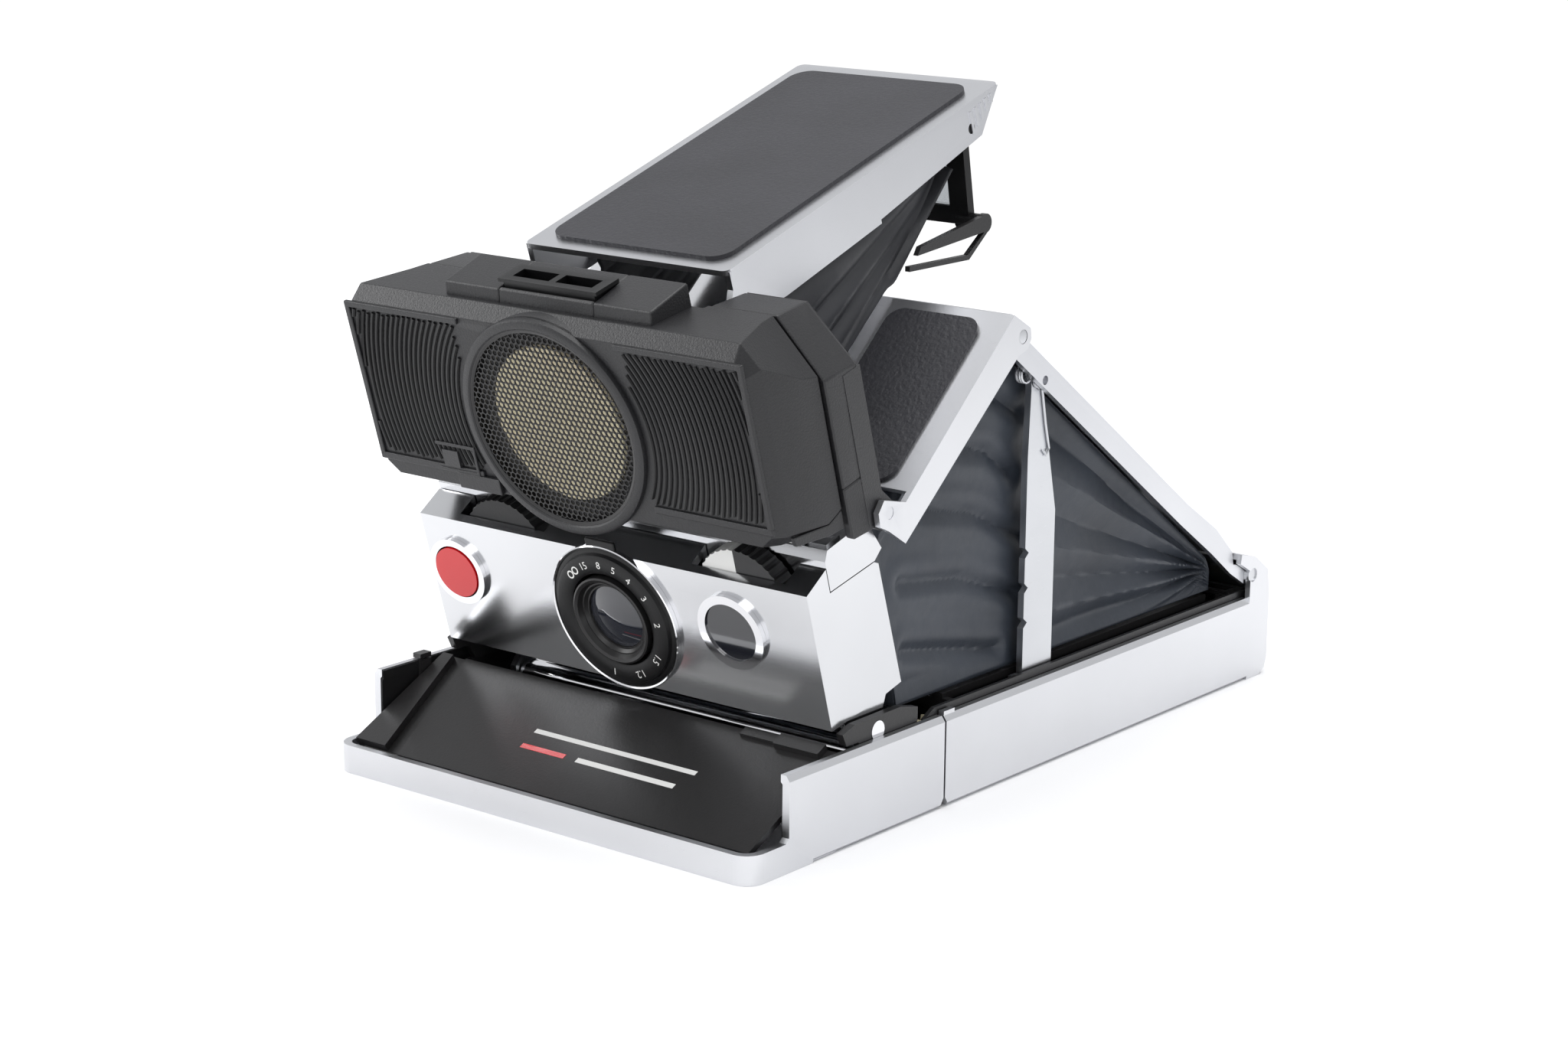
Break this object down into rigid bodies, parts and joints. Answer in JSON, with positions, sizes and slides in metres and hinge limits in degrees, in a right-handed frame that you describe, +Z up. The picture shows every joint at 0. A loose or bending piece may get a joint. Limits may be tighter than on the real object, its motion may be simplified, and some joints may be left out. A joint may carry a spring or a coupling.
{
  "type": "folding instant camera",
  "caption": "Folding single-lens-reflex instant camera with a sonar focusing unit, standing erect: hinged covers, bellows, finder, rollers and film door.",
  "frame": {"origin": "middle of the underside of the camera's base", "axes": "+X to the right seen from the front, -Y towards the subject, +Z up"},
  "size_m": [0.104, 0.176, 0.1303],
  "materials": {
    "brushed_metal": "fine brushed satin",
    "black_plastic": "fine grained satin",
    "black_metal": "satin black lacquer",
    "leather": "fine grained",
    "steel": "plain turned or stamped",
    "chrome": "polished",
    "mirror": "silvered",
    "glass": "clear",
    "dark_glass": "polished dark",
    "red_plastic": "polished",
    "bellows_rubber": "creased",
    "gold": "foil",
    "circuit": "lacquered board",
    "gear_plastic": "moulded"
  },
  "bodies": {
    "base": {"base_shell": "brushed_metal", "chassis": "black_metal", "link_bracket_right": "black_metal", "link_bracket_left": "black_metal", "bracket_screws": "chrome", "tripod_socket": "steel", "strut_stop": "steel", "battery_contacts": "gold", "drive_motor": "steel", "rear_hinge_pin": "steel", "main_bellows": "bellows_rubber"},
    "pinion": {"motor_pinion": "gear_plastic"},
    "idler": {"idler_gear": "gear_plastic"},
    "carrier": {"fresnel_carrier": "black_plastic", "fresnel_mirror": "mirror"},
    "door": {"film_door": "brushed_metal", "door_hinge_pin": "steel", "roller_bracket": "steel"},
    "roller_low": {"lower_roller": "chrome"},
    "roller_high": {"upper_roller": "chrome"},
    "latch": {"door_latch": "gear_plastic"},
    "flap": {"deck_flap": "black_metal"},
    "pick": {"pick_arm": "steel"},
    "rear": {"rear_cover": "brushed_metal", "rear_leather": "leather", "main_mirror": "mirror", "strut_spring": "steel"},
    "strut": {"erecting_strut": "steel"},
    "front": {"front_cover": "brushed_metal", "front_leather": "leather", "finder_bellows": "bellows_rubber"},
    "shutter": {"shutter_housing": "brushed_metal", "top_cover": "brushed_metal", "shutter_base": "black_metal", "lens_bezel": "black_plastic", "lens_barrel": "black_metal", "button_ring": "chrome", "eye_ring": "chrome", "photocell": "dark_glass"},
    "blade_a": {"shutter_blade_a": "black_metal"},
    "blade_b": {"shutter_blade_b": "black_metal"},
    "lens": {"lens_cell": "glass"},
    "button": {"red_button": "red_plastic"},
    "focus": {"focus_wheel": "black_plastic"},
    "exposure": {"exposure_wheel": "black_plastic"},
    "sonar": {"sonar_shell": "black_plastic", "sonar_back": "black_plastic", "transducer_ring": "black_plastic", "transducer_grille": "black_metal", "transducer_foil": "gold", "sonar_board": "circuit", "flash_socket": "black_plastic"},
    "switch": {"focus_switch": "black_plastic"},
    "cap": {"finder_cap": "brushed_metal", "cap_leather": "leather", "finder_mirror": "mirror"},
    "frame": {"finder_frame": "black_plastic", "eyepiece": "glass"},
    "lever": {"finder_lever": "steel"}
  },
  "joints": [
    {"name": "rear_fold", "type": "hinge", "parent": "base", "child": "rear", "pos_m": [0, 0.081, 0.023], "axis": [1, 0, 0], "range_deg": [0, 32.3], "deforming": ["main_bellows"]},
    {"name": "front_fold", "type": "hinge", "parent": "rear", "child": "front", "pos_m": [0, -0.008, 0.087], "axis": [1, 0, 0], "range_deg": [-74.3, 0], "deforming": ["finder_bellows"]},
    {"name": "strut_fold", "type": "hinge", "parent": "rear", "child": "strut", "pos_m": [0, 0.002, 0.077], "axis": [1, 0, 0], "range_deg": [0, 39.7]},
    {"name": "sonar_fold", "type": "hinge", "parent": "front", "child": "sonar", "pos_m": [0, -0.0489, 0.0606], "axis": [1, 0, 0], "range_deg": [-64.4, 0]},
    {"name": "cap_fold", "type": "hinge", "parent": "sonar", "child": "cap", "pos_m": [0, -0.0586, 0.0937], "axis": [1, 0, 0], "range_deg": [0, 90.4]},
    {"name": "frame_fold", "type": "hinge", "parent": "cap", "child": "frame", "pos_m": [0, 0.0121, 0.122], "axis": [1, 0, 0], "range_deg": [-60, 0]},
    {"name": "lever_fold", "type": "hinge", "parent": "frame", "child": "lever", "pos_m": [0, 0.0155, 0.1032], "axis": [1, 0, 0], "range_deg": [0, 63]},
    {"name": "housing_fold", "type": "hinge", "parent": "base", "child": "shutter", "pos_m": [0, -0.0485, 0.0192], "axis": [1, 0, 0], "range_deg": [0, 73.6]},
    {"name": "flap_fold", "type": "hinge", "parent": "door", "child": "flap", "pos_m": [0, -0.0836, 0.0036], "axis": [1, 0, 0], "range_deg": [-28, 0]},
    {"name": "door_open", "type": "hinge", "parent": "base", "child": "door", "pos_m": [0, -0.0302, 0.0015], "axis": [1, 0, 0], "range_deg": [0, 35]},
    {"name": "mirror_lift", "type": "hinge", "parent": "base", "child": "carrier", "pos_m": [0, 0.079, 0.016], "axis": [1, 0, 0], "range_deg": [-30, 0]},
    {"name": "pinion_spin", "type": "hinge", "parent": "base", "child": "pinion", "pos_m": [0, -0.03, 0.0128], "axis": [1, 0, 0], "continuous": true},
    {"name": "idler_spin", "type": "hinge", "parent": "base", "child": "idler", "pos_m": [0, -0.0376, 0.0103], "axis": [1, 0, 0], "continuous": true},
    {"name": "low_roller_spin", "type": "hinge", "parent": "door", "child": "roller_low", "pos_m": [0, -0.042, 0.0047], "axis": [1, 0, 0], "continuous": true},
    {"name": "high_roller_spin", "type": "hinge", "parent": "door", "child": "roller_high", "pos_m": [0, -0.042, 0.0111], "axis": [1, 0, 0], "continuous": true},
    {"name": "pick_slide", "type": "slide", "parent": "base", "child": "pick", "axis": [0, -1, 0], "range_m": [0, 0.006]},
    {"name": "latch_slide", "type": "slide", "parent": "door", "child": "latch", "axis": [0, 1, 0], "range_m": [0, 0.002]},
    {"name": "focus_turn", "type": "hinge", "parent": "shutter", "child": "focus", "pos_m": [-0.0275, -0.06246, 0.04449], "axis": [0, 0.9593, 0.2823], "range_deg": [-150, 150]},
    {"name": "lens_turn", "type": "hinge", "parent": "shutter", "child": "lens", "pos_m": [0, -0.06294, 0.03549], "axis": [0, 0.9593, 0.2823], "range_deg": [-150, 150]},
    {"name": "exposure_turn", "type": "hinge", "parent": "shutter", "child": "exposure", "pos_m": [0.031, -0.06246, 0.04449], "axis": [0, 0.9593, 0.2823], "range_deg": [-60, 60]},
    {"name": "button_press", "type": "slide", "parent": "shutter", "child": "button", "axis": [0, 0.9593, 0.2823], "range_m": [0, 0.0014], "stiffness_N_per_m": 600},
    {"name": "blade_a_slide", "type": "slide", "parent": "shutter", "child": "blade_a", "axis": [1, 0, 0], "range_m": [0, 0.012]},
    {"name": "blade_b_slide", "type": "slide", "parent": "shutter", "child": "blade_b", "axis": [-1, 0, 0], "range_m": [0, 0.012]},
    {"name": "switch_slide", "type": "slide", "parent": "sonar", "child": "switch", "axis": [1, 0, 0], "range_m": [0, 0.003]}
  ],
  "couplings": [
    {"joint": "front_fold", "follows": "rear_fold", "ratio": -2.3003},
    {"joint": "strut_fold", "follows": "rear_fold", "ratio": 1.2291},
    {"joint": "sonar_fold", "follows": "rear_fold", "ratio": -1.9938},
    {"joint": "cap_fold", "follows": "rear_fold", "ratio": 2.7988},
    {"joint": "frame_fold", "follows": "rear_fold", "ratio": -1.8576},
    {"joint": "lever_fold", "follows": "rear_fold", "ratio": 1.9505},
    {"joint": "housing_fold", "follows": "rear_fold", "ratio": 2.2786},
    {"joint": "flap_fold", "follows": "rear_fold", "ratio": -0.86687},
    {"joint": "idler_spin", "follows": "pinion_spin", "ratio": -0.81818},
    {"joint": "low_roller_spin", "follows": "pinion_spin", "ratio": 1.2857},
    {"joint": "high_roller_spin", "follows": "pinion_spin", "ratio": -1.2857},
    {"joint": "lens_turn", "follows": "focus_turn", "ratio": -1},
    {"joint": "blade_b_slide", "follows": "blade_a_slide", "ratio": 1}
  ]
}
